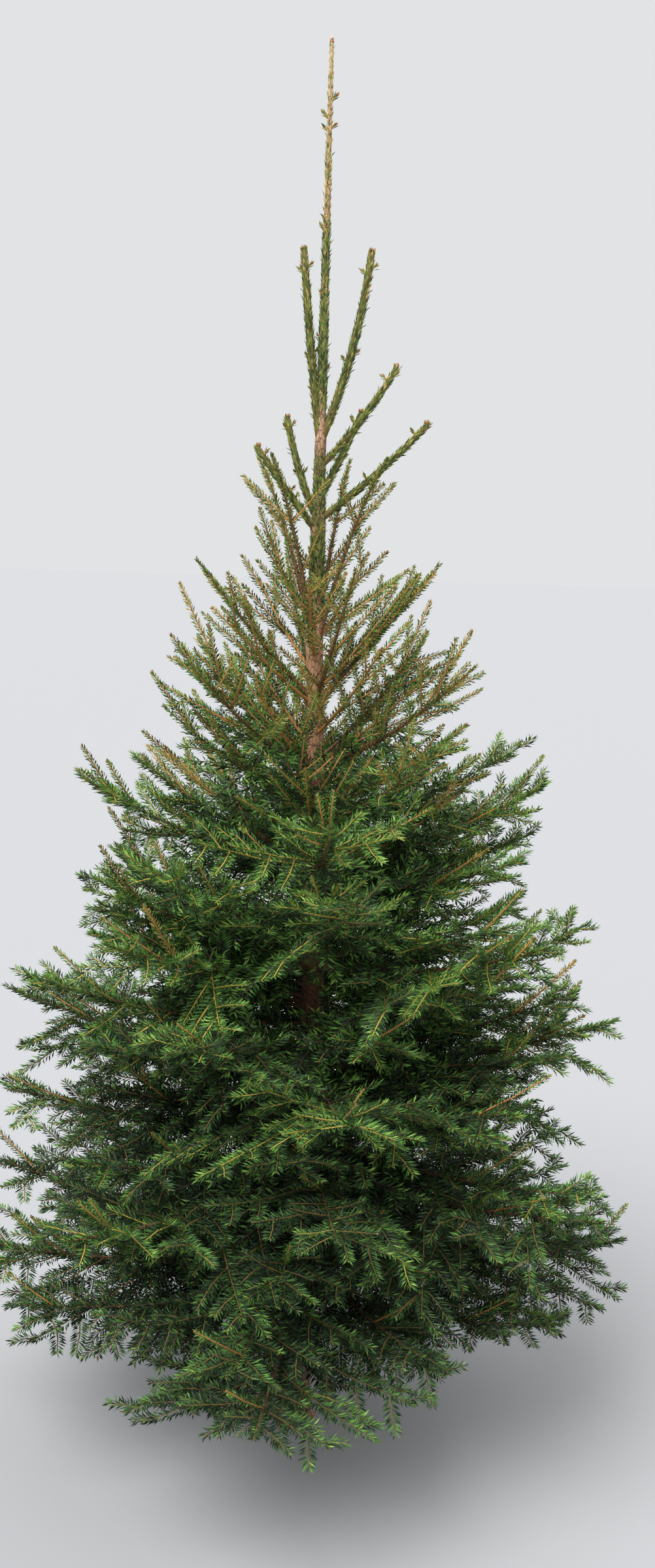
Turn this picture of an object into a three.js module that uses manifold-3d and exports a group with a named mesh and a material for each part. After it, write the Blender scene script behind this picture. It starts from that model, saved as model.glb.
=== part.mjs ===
// A young spruce about 2.4 m tall, rooted in level ground: a tapering trunk up to the leader's tip,
// eight whorls of four boughs, the masses of needle sprays that they carry, and the stout shoots
// under the leader.
// Millimetres, +Z up. The origin is the middle of the trunk's flat cut at ground level.
import * as THREE from "three";
import { mergeVertices } from "three/addons/utils/BufferGeometryUtils.js";
import Module from "manifold-3d";

const wasm = await Module();
wasm.setup();

// The whole tree
const TREE_HEIGHT = 2420;
const SEED = 41;
const CLEARANCE = 0.3; // between a mass and what carries it

// The trunk
const FOOT_RADIUS = 27;
const TIP_RADIUS = 2.4;
const TRUNK_TAPER = 0.85;
const FLARE = { radius: 11, height: 38, lobes: 4, depth: 0.12 };
const LEADER = { from: 1500, to: 1850, slimness: 0.7 }; // the trunk is slimmer above its upper whorls
const BOW = { height: 1450, x: 14, y: -7 }; // how far the trunk leaves a straight line, up to that height
const TRUNK_SIDES = 15;
const TRUNK_RINGS = 17;

// The whorls of boughs, the lowest first: height on the trunk, compass turn, reach, and the rise in degrees
// at the trunk and at the tip. A bough is bare over part of its length, and then carries sprays in pairs,
// one pair a year. The youngest boughs aren't bare at all. Lift is how far the sprays rise beside the bough.
// Spray widths are half widths, as a share of a spray's length.
const WHORLS = [
  { foot: 330, turn: 0, reach: 600, rise: [-8, 12], years: 6, bare: 0.25, radius: 9, lift: -0.2, spray: 0.31 },
  { foot: 514, turn: 47, reach: 585, rise: [-3, 16], years: 6, bare: 0.25, radius: 8.5, lift: -0.12, spray: 0.31 },
  { foot: 698, turn: 92, reach: 535, rise: [2, 21], years: 6, bare: 0.25, radius: 8, lift: 0, spray: 0.31 },
  { foot: 882, turn: 139, reach: 480, rise: [5, 26], years: 5, bare: 0.22, radius: 7.5, lift: 0.08, spray: 0.3 },
  { foot: 1064, turn: 186, reach: 400, rise: [8, 33], years: 5, bare: 0.2, radius: 7, lift: 0.18, spray: 0.27 },
  { foot: 1238, turn: 232, reach: 305, rise: [20, 44], years: 4, bare: 0, radius: 6.5, lift: 0.35, spray: 0.2 },
  { foot: 1350, turn: 195, reach: 208, rise: [46, 52], years: 4, bare: 0, radius: 5.5, lift: 0.4, spray: 0.12 },
  { foot: 1440, turn: 240, reach: 130, rise: [74, 56], years: 4, bare: 0, radius: 5.5, lift: 0.5, spray: 0.12 },
];
const BOUGHS_IN_WHORL = 4;
const MOST_JITTER = 7; // degrees that a bough may turn from its even place
const TIP_SHARE = 0.6; // of a limb's radius at its foot
const LIMB_SIDES = 6;
const CROWN_FLOOR = { foot: 130, slope: 0.28 }; // no foliage is under this height, which grows outwards
const SHOULDER = { foot: 1615, slope: 0.9 }; // the whorls keep under this height, which grows outwards

// Side sprays along a stem
const SIDE_ANGLE = 52; // degrees from the stem
const SIDE_SHARE = 0.86; // a side spray's length, as a share of the stem that lies beyond it
const SIDE_TAPER = 0.86;
const LIFT_SPREAD = 0.42; // how much side sprays differ in how they rise
const ROLL = { mean: 40, spread: 14 }; // degrees that the sprays of a side turn about their lines, like slats
const YEAR_START = 0.4; // how far before the end of a year's length its pair stands, in years
const LEAST_SPRAY = 60;
const WIDEST_SPRAY = 78;
const SLIMMEST_SPRAY = 12;

// The last spray of a bough: its share of a year's length, and how far it is sunk in the stem
const TIP_SPRAY = { years: 0.9, sunk: 5, width: 0.3, roll: 30 };

// A spray of needles is a toothed blade with a ridge
const ROOT = 2.2; // half the blade's width and thickness where it begins, inside its stem
const RIDGE = { least: 3, growth: 0.015 }; // half its greatest thickness, by its length
const STALK = 0.14; // the share of a blade before its first teeth
const NOTCH = 0.3; // the width between two teeth, as a share of a tooth's
const TOOTH_SWEEP = 1.1; // how far a tooth leans forward, as a share of its width

// Shoots that rise from the trunk above the whorls: height on the trunk, compass turn, rise and length
const TOP_SHOOTS = [
  { name: "top_shoot_left", height: 1778, turn: 186, rise: [82, 85], length: 318 },
  { name: "top_shoot_right", height: 1788, turn: -10, rise: [68, 84], length: 315 },
  { name: "shoulder_shoot_right", height: 1748, turn: -6, rise: [46, 60], length: 205 },
  { name: "shoulder_shoot_back_right", height: 1692, turn: 38, rise: [58, 62], length: 170 },
  { name: "shoulder_shoot_far_right", height: 1660, turn: -10, rise: [37, 47], length: 240 },
  { name: "shoulder_shoot_left", height: 1655, turn: 165, rise: [64, 78], length: 182 },
  { name: "shoulder_shoot_far_left", height: 1640, turn: 192, rise: [50, 54], length: 172 },
];
const TOP_SPRAY = { halfWidth: 11, pairs: 2, radius: 5.5 };

const UP = new THREE.Vector3(0, 0, 1);
const radians = THREE.MathUtils.degToRad;
const slopeOf = (degrees) => Math.tan(radians(degrees));
const finish = (color, roughness) => new THREE.MeshStandardMaterial({ color, roughness, metalness: 0 });
const trunkBark = finish(0x8a6a55, 0.9);
const boughBark = finish(0x7a5a3c, 0.9);
const needles = finish(0x2f5230, 0.6);
const topNeedles = finish(0x6b7040, 0.65);

// A number from 0 to 1 that is always the same for the same keys
function chance(...keys) {
  let hash = SEED;
  for (const key of keys) {
    hash = Math.imul(hash ^ (key + 0x9e3779b9), 0x85ebca6b);
    hash ^= hash >>> 13;
  }
  return (hash >>> 0) / 2 ** 32;
}

const swing = (...keys) => 2 * chance(...keys) - 1;

// Closed surfaces

// A closed surface through rings of points, each ring counterclockwise seen from the last one
function skin(rings, startCentre, endCentre) {
  const sides = rings[0].length;
  const points = [...rings.flat(), startCentre, endCentre];
  const start = points.length - 2;
  const end = points.length - 1;
  const faces = [];
  for (let i = 0; i < rings.length - 1; i++) {
    for (let j = 0; j < sides; j++) {
      const a = i * sides + j;
      const b = i * sides + ((j + 1) % sides);
      faces.push(a, b, b + sides, a, b + sides, a + sides);
    }
  }
  const last = (rings.length - 1) * sides;
  for (let j = 0; j < sides; j++) {
    const next = (j + 1) % sides;
    faces.push(start, next, j, end, last + j, last + next);
  }
  return new THREE.BufferGeometry().setFromPoints(points).setIndex(faces);
}

// A tapering limb with flat ends along a curve
function limbSkin(curve, radiusAt, steps, sides) {
  const frames = curve.computeFrenetFrames(steps);
  const rings = [];
  for (let i = 0; i <= steps; i++) {
    const centre = curve.getPointAt(i / steps);
    const radius = radiusAt(i / steps);
    rings.push(
      Array.from({ length: sides }, (_, j) => {
        const angle = (2 * Math.PI * j) / sides;
        return centre
          .clone()
          .addScaledVector(frames.normals[i], radius * Math.cos(angle))
          .addScaledVector(frames.binormals[i], radius * Math.sin(angle));
      }),
    );
  }
  return skin(rings, curve.getPointAt(0), curve.getPointAt(1));
}

// How wide a spray's pair of teeth is, by the pair's place on the spray
const pairWidth = (place) => 1 - 0.62 * place;

// A toothed blade along +X: pairs of teeth that sweep forward, then a point. Its middle line is thickest.
function bladeSkin(length, halfWidth, pairs) {
  const start = STALK * length;
  const step = (length - start) / (pairs + 1);
  const thickness = RIDGE.least + RIDGE.growth * length;
  const quarter = []; // of points: along the blade, across it, and half the thickness there
  const corners = [];
  const add = (...point) => quarter.push(point) - 1;
  const root = add(0, 0, ROOT);
  const rim = add(0, ROOT, 0);
  const tip = add(length, 0, 0);
  const rows = [];
  for (let pair = 0; pair <= pairs; pair++) {
    const along = start + pair * step;
    const width = halfWidth * pairWidth(along / length);
    rows.push({
      axis: pair < pairs ? add(along, 0, thickness * (1 - along / length)) : tip,
      notch: add(along, pair === 0 ? ROOT : NOTCH * width, 0),
      tooth: pair < pairs ? add(along + TOOTH_SWEEP * width, width, 0) : tip,
    });
  }
  corners.push([root, rows[0].axis, rows[0].notch], [root, rows[0].notch, rim]);
  for (let pair = 0; pair < pairs; pair++) {
    const [here, next] = [rows[pair], rows[pair + 1]];
    corners.push([here.axis, next.axis, next.notch]);
    corners.push([here.axis, next.notch, here.tooth]);
    corners.push([here.axis, here.tooth, here.notch]);
  }
  const points = [];
  const faces = [];
  for (const side of [1, -1]) {
    for (const face of [1, -1]) {
      const first = points.length;
      for (const [x, y, z] of quarter) points.push(new THREE.Vector3(x, side * y, face * z));
      for (const [a, b, c] of corners) {
        const turned = side * face > 0 ? [a, b, c] : [a, c, b];
        faces.push(...turned.map((corner) => first + corner));
      }
    }
  }
  const cap = points.length;
  const around = [[0, ROOT], [ROOT, 0], [0, -ROOT], [-ROOT, 0]];
  for (const [up, across] of around) points.push(new THREE.Vector3(0, across, up));
  faces.push(cap, cap + 2, cap + 1, cap, cap + 3, cap + 2);
  return new THREE.BufferGeometry().setFromPoints(points).setIndex(faces);
}

// Solids, joined and cut

function solidOf(geometry) {
  const bare = geometry.clone();
  bare.deleteAttribute("normal");
  bare.deleteAttribute("uv");
  const merged = mergeVertices(bare, 1e-4);
  const mesh = new wasm.Mesh({
    numProp: 3,
    vertProperties: merged.attributes.position.array,
    triVerts: new Uint32Array(merged.index.array),
  });
  return new wasm.Manifold(mesh);
}

function geometryOf(solid) {
  const mesh = solid.getMesh();
  const points = new Float32Array(mesh.numVert * 3);
  for (let i = 0; i < mesh.numVert; i++) {
    points.set(mesh.vertProperties.subarray(i * mesh.numProp, i * mesh.numProp + 3), i * 3);
  }
  return new THREE.BufferGeometry()
    .setAttribute("position", new THREE.BufferAttribute(points, 3))
    .setIndex(new THREE.BufferAttribute(mesh.triVerts, 1));
}

// The largest body of a solid, without the scraps that a cut leaves
function largestBody(solid) {
  return solid.decompose().reduce((best, body) => (body.volume() > best.volume() ? body : best));
}

// The trunk

function trunkCentre(height) {
  const share = Math.sin((Math.PI * Math.min(height, BOW.height)) / BOW.height);
  return new THREE.Vector3(BOW.x * share, BOW.y * share, height);
}

function trunkRadius(height) {
  const left = Math.max(0, 1 - height / TREE_HEIGHT);
  const slim = THREE.MathUtils.smoothstep(height, LEADER.from, LEADER.to);
  const taper = (FOOT_RADIUS - TIP_RADIUS) * left ** TRUNK_TAPER;
  return TIP_RADIUS + taper * THREE.MathUtils.lerp(1, LEADER.slimness, slim);
}

// grown makes the trunk that much thicker, as a cutter that leaves a gap
function trunkSkin(grown = 0) {
  const rings = [];
  for (let i = 0; i <= TRUNK_RINGS; i++) {
    const height = TREE_HEIGHT * (i / TRUNK_RINGS) ** 1.5;
    const centre = trunkCentre(height);
    const spread = Math.exp(-height / FLARE.height);
    rings.push(
      Array.from({ length: TRUNK_SIDES }, (_, j) => {
        const angle = (2 * Math.PI * j) / TRUNK_SIDES;
        const lobe = 1 + FLARE.depth * spread * Math.cos(FLARE.lobes * angle);
        const radius = (trunkRadius(height) + FLARE.radius * spread) * lobe + grown;
        return new THREE.Vector3(Math.cos(angle), Math.sin(angle), 0).multiplyScalar(radius).add(centre);
      }),
    );
  }
  return skin(rings, new THREE.Vector3(1.7, 0.9, 0), trunkCentre(TREE_HEIGHT));
}

// Limbs and sprays

const heading = (turn, rise) =>
  new THREE.Vector3(
    Math.cos(radians(rise)) * Math.cos(radians(turn)),
    Math.cos(radians(rise)) * Math.sin(radians(turn)),
    Math.sin(radians(rise)),
  );

const boughTurn = (whorl, index) =>
  WHORLS[whorl].turn + (360 / BOUGHS_IN_WHORL) * index + MOST_JITTER * swing(whorl, index, 1);

// How high the boughs of a whorl run at a distance from the trunk, and how steeply
function heightAt(whorl, distance) {
  const { foot, rise, reach } = WHORLS[whorl];
  const [start, end] = rise.map(slopeOf);
  return foot + start * distance + ((end - start) * distance ** 2) / (2 * reach);
}

function slopeAt(whorl, distance) {
  const { rise, reach } = WHORLS[whorl];
  const [start, end] = rise.map(slopeOf);
  return start + ((end - start) * distance) / reach;
}

// The line of a bough between two distances from the trunk
function boughLine(whorl, index, near, far) {
  const outward = heading(boughTurn(whorl, index), 0);
  const place = (distance, height) =>
    trunkCentre(WHORLS[whorl].foot).setZ(height).addScaledVector(outward, distance);
  const half = (far - near) / 2;
  return new THREE.QuadraticBezierCurve3(
    place(near, heightAt(whorl, near)),
    place(near + half, heightAt(whorl, near) + half * slopeAt(whorl, near)),
    place(far, heightAt(whorl, far)),
  );
}

// The space that one mass keeps to: its share of the turn, between the middles of the gaps to the next whorls
function massSpace(whorl, index) {
  const margin = 3;
  const { reach } = WHORLS[whorl];
  const last = BOUGHS_IN_WHORL - 1;
  const middle = radians(boughTurn(whorl, index));
  const circle = 2 * Math.PI;
  const next = radians(boughTurn(whorl, (index + 1) % BOUGHS_IN_WHORL)) + (index === last ? circle : 0);
  const before = radians(boughTurn(whorl, (index + last) % BOUGHS_IN_WHORL)) - (index === 0 ? circle : 0);
  const top = (distance) =>
    whorl === WHORLS.length - 1
      ? SHOULDER.foot + SHOULDER.slope * distance
      : (heightAt(whorl, distance) + heightAt(whorl + 1, distance)) / 2;
  const bottom = (distance) =>
    whorl === 0
      ? CROWN_FLOOR.foot + CROWN_FLOOR.slope * distance
      : (heightAt(whorl, distance) + heightAt(whorl - 1, distance)) / 2;
  return (point) => {
    const centre = trunkCentre(point.z);
    const distance = Math.hypot(point.x - centre.x, point.y - centre.y);
    let turn = Math.atan2(point.y - centre.y, point.x - centre.x) - middle;
    turn -= circle * Math.round(turn / circle);
    const room = margin / Math.max(distance, 1);
    return (
      distance < reach * 1.02 &&
      turn > (before - middle) / 2 + room &&
      turn < (next - middle) / 2 - room &&
      point.z < top(distance) - margin &&
      point.z > bottom(distance) + margin
    );
  };
}

// A blade laid along a line from a point, rolled about that line
function placedBlade(from, direction, length, halfWidth, pairs, roll) {
  const side = new THREE.Vector3().crossVectors(UP, direction).normalize();
  const normal = new THREE.Vector3().crossVectors(direction, side);
  const place = new THREE.Matrix4().makeBasis(direction, side, normal).setPosition(from);
  return bladeSkin(length, halfWidth, pairs).rotateX(roll).applyMatrix4(place);
}

function allInside(geometry, inSpace) {
  const positions = geometry.getAttribute("position");
  const point = new THREE.Vector3();
  for (let i = 0; i < positions.count; i++) {
    if (!inSpace(point.fromBufferAttribute(positions, i))) return false;
  }
  return true;
}

const sprayHalfWidth = (length, share) =>
  THREE.MathUtils.clamp(share * length, SLIMMEST_SPRAY, WIDEST_SPRAY);
const sprayPairs = (length) => (length < 140 ? 1 : 2);

// A side spray that keeps to its space: it is laid flatter, then made shorter, and at last skipped
function sideBlade(stem, share, side, wish, inSpace) {
  const along = stem.getTangentAt(share);
  const from = stem.getPointAt(share);
  const across = new THREE.Vector3().crossVectors(UP, along).normalize();
  for (const size of [1, 0.85, 0.7, 0.55]) {
    for (const ease of [1, 0.6, 0.2, -0.2]) {
      const length = wish.length * size;
      if (length < LEAST_SPRAY) continue;
      const direction = along
        .clone()
        .multiplyScalar(Math.cos(radians(wish.angle)))
        .addScaledVector(across, side * Math.sin(radians(wish.angle)))
        .addScaledVector(UP, wish.lift * ease)
        .normalize();
      const roll = wish.roll * Math.max(ease, 0.3);
      const halfWidth = sprayHalfWidth(length, wish.width);
      const blade = placedBlade(from, direction, length, halfWidth, sprayPairs(length), roll);
      if (allInside(blade, inSpace)) return blade;
    }
  }
  return null;
}

// The side sprays of a bough's stem: a pair at the end of each yearly length, shorter towards the tip
function sideBlades(stem, whorl, index) {
  const { years, bare, lift, spray } = WHORLS[whorl];
  const inSpace = massSpace(whorl, index);
  const length = stem.getLength();
  const tilt = chance(whorl, index, 5) < 0.5 ? 1 : -1;
  const blades = [];
  for (let year = Math.floor(bare * years) + 1; year < years; year++) {
    const share = ((year - YEAR_START) / years - bare) / (1 - bare);
    for (const side of [-1, 1]) {
      const key = [whorl, index, year, side];
      const wish = {
        angle: SIDE_ANGLE + 6 * swing(...key, 1),
        length: SIDE_SHARE * length * (1 - SIDE_TAPER * share) * (0.92 + 0.12 * swing(...key, 2)),
        lift: lift + LIFT_SPREAD * swing(...key, 3),
        roll: side * tilt * radians(ROLL.mean + ROLL.spread * swing(...key, 4)),
        width: spray,
      };
      const blade = sideBlade(stem, share, side, wish, inSpace);
      if (blade) blades.push(blade);
    }
  }
  return blades;
}

// The spray that ends a bough, on from the tip of its stem
function tipBlade(stem, whorl, index) {
  const direction = stem.getTangentAt(1);
  const from = stem.getPointAt(1).addScaledVector(direction, -TIP_SPRAY.sunk);
  const length = (TIP_SPRAY.years / WHORLS[whorl].years) * WHORLS[whorl].reach + TIP_SPRAY.sunk;
  const roll = radians(TIP_SPRAY.roll) * swing(whorl, index, 3);
  return placedBlade(from, direction, length, sprayHalfWidth(length, TIP_SPRAY.width), 1, roll);
}

// Where a bough's stem ends and its last spray begins
const stemReach = ({ reach, years }) => reach * (1 - TIP_SPRAY.years / years);

function massOf(stemSkin, blades, cutter) {
  let solid = solidOf(stemSkin);
  for (const blade of blades) solid = solid.add(solidOf(blade));
  if (cutter) solid = solid.subtract(cutter);
  return geometryOf(largestBody(solid.simplify(0.2)));
}

const tree = new THREE.Group();
tree.name = "spruce";

function addNode(name, geometry, finished) {
  const mesh = new THREE.Mesh(geometry, finished);
  mesh.name = name;
  tree.add(mesh);
}

const taperFrom = (radius, tipShare) => (share) => radius * THREE.MathUtils.lerp(1, tipShare, share);

// An older bough is a bare limb, and its mass grows on from the limb's tip
function addBough(whorl, index, label, cutter) {
  const { bare, reach, radius } = WHORLS[whorl];
  const bareReach = bare * reach;
  const limb = limbSkin(boughLine(whorl, index, 0, bareReach), taperFrom(radius, TIP_SHARE), 2, LIMB_SIDES);
  addNode(`bough_${label}`, geometryOf(largestBody(solidOf(limb).subtract(cutter))), boughBark);

  const gap = CLEARANCE / Math.hypot(1, slopeAt(whorl, bareReach));
  const line = boughLine(whorl, index, bareReach + gap, reach);
  const stem = boughLine(whorl, index, bareReach + gap, stemReach(WHORLS[whorl]));
  const stemSkin = limbSkin(stem, taperFrom(radius * TIP_SHARE, 0.45), 2, 4);
  const blades = [...sideBlades(line, whorl, index), tipBlade(stem, whorl, index)];
  addNode(`foliage_${label}`, massOf(stemSkin, blades, null), needles);
}

// A young bough isn't bare: its mass begins at the trunk
function addYoungBough(whorl, index, label, cutter) {
  const { reach, radius } = WHORLS[whorl];
  const line = boughLine(whorl, index, 0, reach);
  const stem = boughLine(whorl, index, 0, stemReach(WHORLS[whorl]));
  const stemSkin = limbSkin(stem, taperFrom(radius, 0.4), 2, 4);
  const blades = [...sideBlades(line, whorl, index), tipBlade(stem, whorl, index)];
  addNode(`foliage_${label}`, massOf(stemSkin, blades, cutter), needles);
}

// A stout upright shoot under the leader: a slim core with needles that stand out on four sides
function addTopShoot({ name, height, turn, rise, length }, cutter) {
  const foot = trunkCentre(height);
  const middle = foot.clone().addScaledVector(heading(turn, rise[0]), length / 2);
  const tip = middle.clone().addScaledVector(heading(turn, rise[1]), length / 2);
  const stem = new THREE.QuadraticBezierCurve3(foot, middle, tip);
  const { halfWidth, pairs, radius } = TOP_SPRAY;
  const stemSkin = limbSkin(stem, taperFrom(radius, 0.55), 3, 4);
  const from = stem.getPointAt(0.15);
  const line = tip.clone().sub(from);
  const blades = [placedBlade(from, line.clone().normalize(), line.length() + 8, halfWidth, pairs, 0)];
  addNode(name, massOf(stemSkin, blades, cutter), topNeedles);
}

const trunkCutter = solidOf(trunkSkin(CLEARANCE / Math.cos(Math.PI / TRUNK_SIDES)));
addNode("trunk", trunkSkin(), trunkBark);
WHORLS.forEach(({ bare }, whorl) => {
  for (let index = 0; index < BOUGHS_IN_WHORL; index++) {
    const label = `${whorl + 1}${"abcd"[index]}`;
    if (bare > 0) addBough(whorl, index, label, trunkCutter);
    else addYoungBough(whorl, index, label, trunkCutter);
  }
});
for (const topShoot of TOP_SHOOTS) addTopShoot(topShoot, trunkCutter);

export default tree;
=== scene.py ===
# The looks of a young spruce about 2.4 m tall: bark with relief, twigs, needles and buds, grown by the rule
# that shapes the tree's solids and carried on to finer twigs.
# Metres and degrees, +Z up. The origin is the middle of the trunk's flat cut at ground level.
import math
from dataclasses import dataclass, replace

import bpy
import numpy as np
from mathutils import Matrix, Vector, noise


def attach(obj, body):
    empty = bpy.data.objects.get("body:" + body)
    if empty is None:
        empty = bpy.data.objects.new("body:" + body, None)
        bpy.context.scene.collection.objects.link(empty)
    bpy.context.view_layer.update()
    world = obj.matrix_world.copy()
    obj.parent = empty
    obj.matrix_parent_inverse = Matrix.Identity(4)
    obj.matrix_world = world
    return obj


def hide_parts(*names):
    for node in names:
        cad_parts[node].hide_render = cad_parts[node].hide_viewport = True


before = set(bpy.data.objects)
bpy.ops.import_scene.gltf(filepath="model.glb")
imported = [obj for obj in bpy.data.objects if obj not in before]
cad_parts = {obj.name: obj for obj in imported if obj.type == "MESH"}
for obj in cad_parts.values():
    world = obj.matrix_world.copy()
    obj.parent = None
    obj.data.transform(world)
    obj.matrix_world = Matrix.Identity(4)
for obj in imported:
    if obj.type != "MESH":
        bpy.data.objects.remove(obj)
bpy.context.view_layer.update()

# The whole tree, as in the solids
TREE_HEIGHT = 2.42
SEED = 41
UP = np.array([0.0, 0.0, 1.0])

# The trunk
FOOT_RADIUS = 0.027
TIP_RADIUS = 0.0024
TRUNK_TAPER = 0.85
FLARE_RADIUS = 0.011
FLARE_HEIGHT = 0.038
FLARE_LOBES = 4
FLARE_DEPTH = 0.12
LEADER_HEIGHTS = (1.5, 1.85)  # the trunk is slimmer above its upper whorls
LEADER_SLIMNESS = 0.7
BOW_HEIGHT = 1.45  # the trunk leaves a straight line up to here
BOW_X = 0.014
BOW_Y = -0.007


@dataclass
class Whorl:
    """A ring of boughs. Shares are of the reach, or for a spray's half width of the spray's length."""

    foot: float
    turn: float
    reach: float
    rise: tuple  # at the trunk and at the tip
    years: int
    bare: float
    radius: float
    lift: float
    spray: float


WHORLS = [
    Whorl(0.330, 0, 0.600, (-8, 12), 6, 0.25, 0.0090, -0.20, 0.31),
    Whorl(0.514, 47, 0.585, (-3, 16), 6, 0.25, 0.0085, -0.12, 0.31),
    Whorl(0.698, 92, 0.535, (2, 21), 6, 0.25, 0.0080, 0.00, 0.31),
    Whorl(0.882, 139, 0.480, (5, 26), 5, 0.22, 0.0075, 0.08, 0.30),
    Whorl(1.064, 186, 0.400, (8, 33), 5, 0.20, 0.0070, 0.18, 0.27),
    Whorl(1.238, 232, 0.305, (20, 44), 4, 0.0, 0.0065, 0.35, 0.20),
    Whorl(1.350, 195, 0.208, (46, 52), 4, 0.0, 0.0055, 0.40, 0.12),
    Whorl(1.440, 240, 0.130, (74, 56), 4, 0.0, 0.0055, 0.50, 0.12),
]
BOUGHS_IN_WHORL = 4
MOST_JITTER = 7  # that a bough may turn from its even place
CROWN_FLOOR = (0.13, 0.28)  # the lowest height of foliage at the trunk, and its slope outwards
SHOULDER = (1.615, 0.9)  # the same for the greatest height of the whorls' foliage
MASS_GAP = 0.003  # on each side of a mass
MASS_REACH = 1.02  # of its bough's reach

# Side sprays along a bough
SIDE_ANGLE = 52
SIDE_SHARE = 0.86
SIDE_TAPER = 0.86
LIFT_SPREAD = 0.42
ROLL_MEAN = 40
ROLL_SPREAD = 14
YEAR_START = 0.4
LEAST_SPRAY = 0.060
WIDEST_SPRAY = 0.078
SLIMMEST_SPRAY = 0.012
SHORTER = (1, 0.85, 0.7, 0.55)  # the sizes that a spray is tried in until it keeps to its mass
FLATTER = (1, 0.6, 0.2, -0.2)
LEAST_ROLL = 0.3
TIP_SPRAY_YEARS = 0.9
TIP_SPRAY_SUNK = 0.005
TIP_SPRAY_WIDTH = 0.3
TIP_SPRAY_ROLL = 30

# The blade that stands for a spray in the solids, which a spray here keeps to
ROOT = 0.0022
RIDGE_LEAST = 0.003
RIDGE_GROWTH = 0.015
STALK = 0.14
NOTCH = 0.3
TOOTH_SWEEP = 1.1
BLADE_TAPER = 0.62
TWO_TEETH_FROM = 0.14  # a blade as long as this has two pairs of teeth

# Stout shoots that rise from the trunk: height, turn, rise at the foot and at the tip, and length
TOP_SHOOTS = {
    "top_shoot_left": (1.778, 186, (82, 85), 0.318),
    "top_shoot_right": (1.788, -10, (68, 84), 0.315),
    "shoulder_shoot_right": (1.748, -6, (46, 60), 0.205),
    "shoulder_shoot_back_right": (1.692, 38, (58, 62), 0.170),
    "shoulder_shoot_far_right": (1.660, -10, (37, 47), 0.240),
    "shoulder_shoot_left": (1.655, 165, (64, 78), 0.182),
    "shoulder_shoot_far_left": (1.640, 192, (50, 54), 0.172),
}
TOP_SHOOT_RADIUS = 0.0066

# Finer twigs than the solids have
TWIG_SPACING = 0.027
TWIG_ANGLES = (47, 8)  # the middle one, and how much one may differ
TWIG_TONE_SPREAD = 0.12
LEAST_TWIG = 0.034
BRANCHED_TWIG = 0.105  # a longer twig has side twigs of its own
SIDE_TWIG_SPACING = 0.040
HANG = (0.45, -0.15)  # how far twigs lean down in the lowest whorl, and in the highest
STEEPEST = -0.5  # the steepest fall of a twig's direction
SPRAY_DIP = 0.06  # of a level spray's middle, as a share of its length
TWIG_TURN = 137.5  # from one twig to the next where they stand all round
INNER_SPACING = 0.0100  # between the shaded twigs on the inner part of a limb
INNER_DEPTH = 0.52  # a shoot nearer to the trunk than this share of the crown's radius is in the shade
INNER_TOP = 1.29  # above this height no shoot is in the shade
INNER_TONES = (0.04, 0.5)  # of the twigs inside, on limbs that leave the trunk under and over this height; the low one is painted shade
INNER_TONE_HEIGHT = 0.6
UPRIGHT = 0.55  # a shoot's rise from which it has needles all round

# Thin boughs between two whorls, and in a ring under the lowest one
SMALL_BOUGHS = (15, 15, 16, 16, 7, 2)  # over each whorl
SMALL_REACH = (0.84, 0.96)  # of the whorls' reach, low and high in the crown
SMALL_BARE = 0.12
SMALL_RADIUS = 0.0036
SMALL_SPRAY_SHARE = 0.62
LOW_BOUGHS = 9
LOW_RING = Whorl(0.285, 10, 0.46, (-2, 12), 5, 0.12, 0.0050, -0.06, 0.30)
FARTHEST_LIMB = 0.600  # no thin bough reaches farther from the trunk
FARTHEST_TIP = 0.615  # no twig ends farther out than this to the left, right, front or back

# Rods: stout straight shoots with short needles all round, at the top of the crown and over its outside
ROD_RADII = (0.0021, 0.00126)  # at the foot and at the tip
SLIM_ROD_RADII = (0.001785, 0.001155)  # of a side twig that is a rod
ROD_LENGTHS = (0.125, 0.035)  # the middle one, and how much one may differ
LEAST_ROD = 0.055
ROD_HEIGHTS = (1.12, 1.40)  # more and more shoots are rods between these heights, and all of them above
ROD_SPACING = 0.081  # between the twigs of a rod
BARE_SPRAYS_FROM = 1.46  # a spray that begins higher has no side twigs
RISING_LIMBS = 18  # slim limbs with rods on them, which leave the trunk between these heights
RISING_FEET = (1.02, 1.49)
RISING_LENGTHS = (0.34, 0.18)  # of the lowest and the highest one
RISING_ANGLES = (30, 56)
RISING_RADII = (0.0036, 0.0014)
TRUNK_RODS = 18  # short rods that leave the trunk itself between these heights
TRUNK_ROD_FEET = (1.12, 1.58)

# Tones go from shade green, 0, to fresh green, 1. These are inside the crown and at its outside; the darker
# green inside is painted shade as well as the older needles' own darker green.
TONES = (0.24, 0.70)
SHADED = (0.95, 0.35)  # painted shade: the lower crown gets darker between these heights, by so much
SHADED_TONES = (-0.15, -0.44)
SUNLIT = (1.05, 1.40)  # painted light: the upper crown gets lighter between these heights, by so much
SUNLIT_TONES = (0.02, 0.12)
TONE_BEND = 1.3  # the higher it is, the more fresh green keeps to the crown's outside, and the more painted shade lies inside
SHADED_BEND = 2.2  # which the lower crown adds
TONE_SPREAD = 0.18
OLIVE_HEIGHTS = (1.15, 1.65)  # more and more shoots are olive between these heights
OLIVE_ROD_HEIGHTS = (0.6, 3.1)  # the same for rods that stand on limbs and on the trunk
OLIVE_LIMBS = 0.55  # of the rising limbs

# Buds on the leader: height, turn and size
LEADER_BUDS = [
    (2.323, -20, 0.0062),
    (2.297, 190, 0.0062),
    (2.281, 0, 0.0050),
    (2.278, 170, 0.0048),
    (2.215, 265, 0.0055),
    (2.126, 200, 0.0050),
    (2.122, 280, 0.0055),
    (2.020, 230, 0.0042),
    (1.955, 185, 0.0042),
    (1.905, 20, 0.0040),
]

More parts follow.
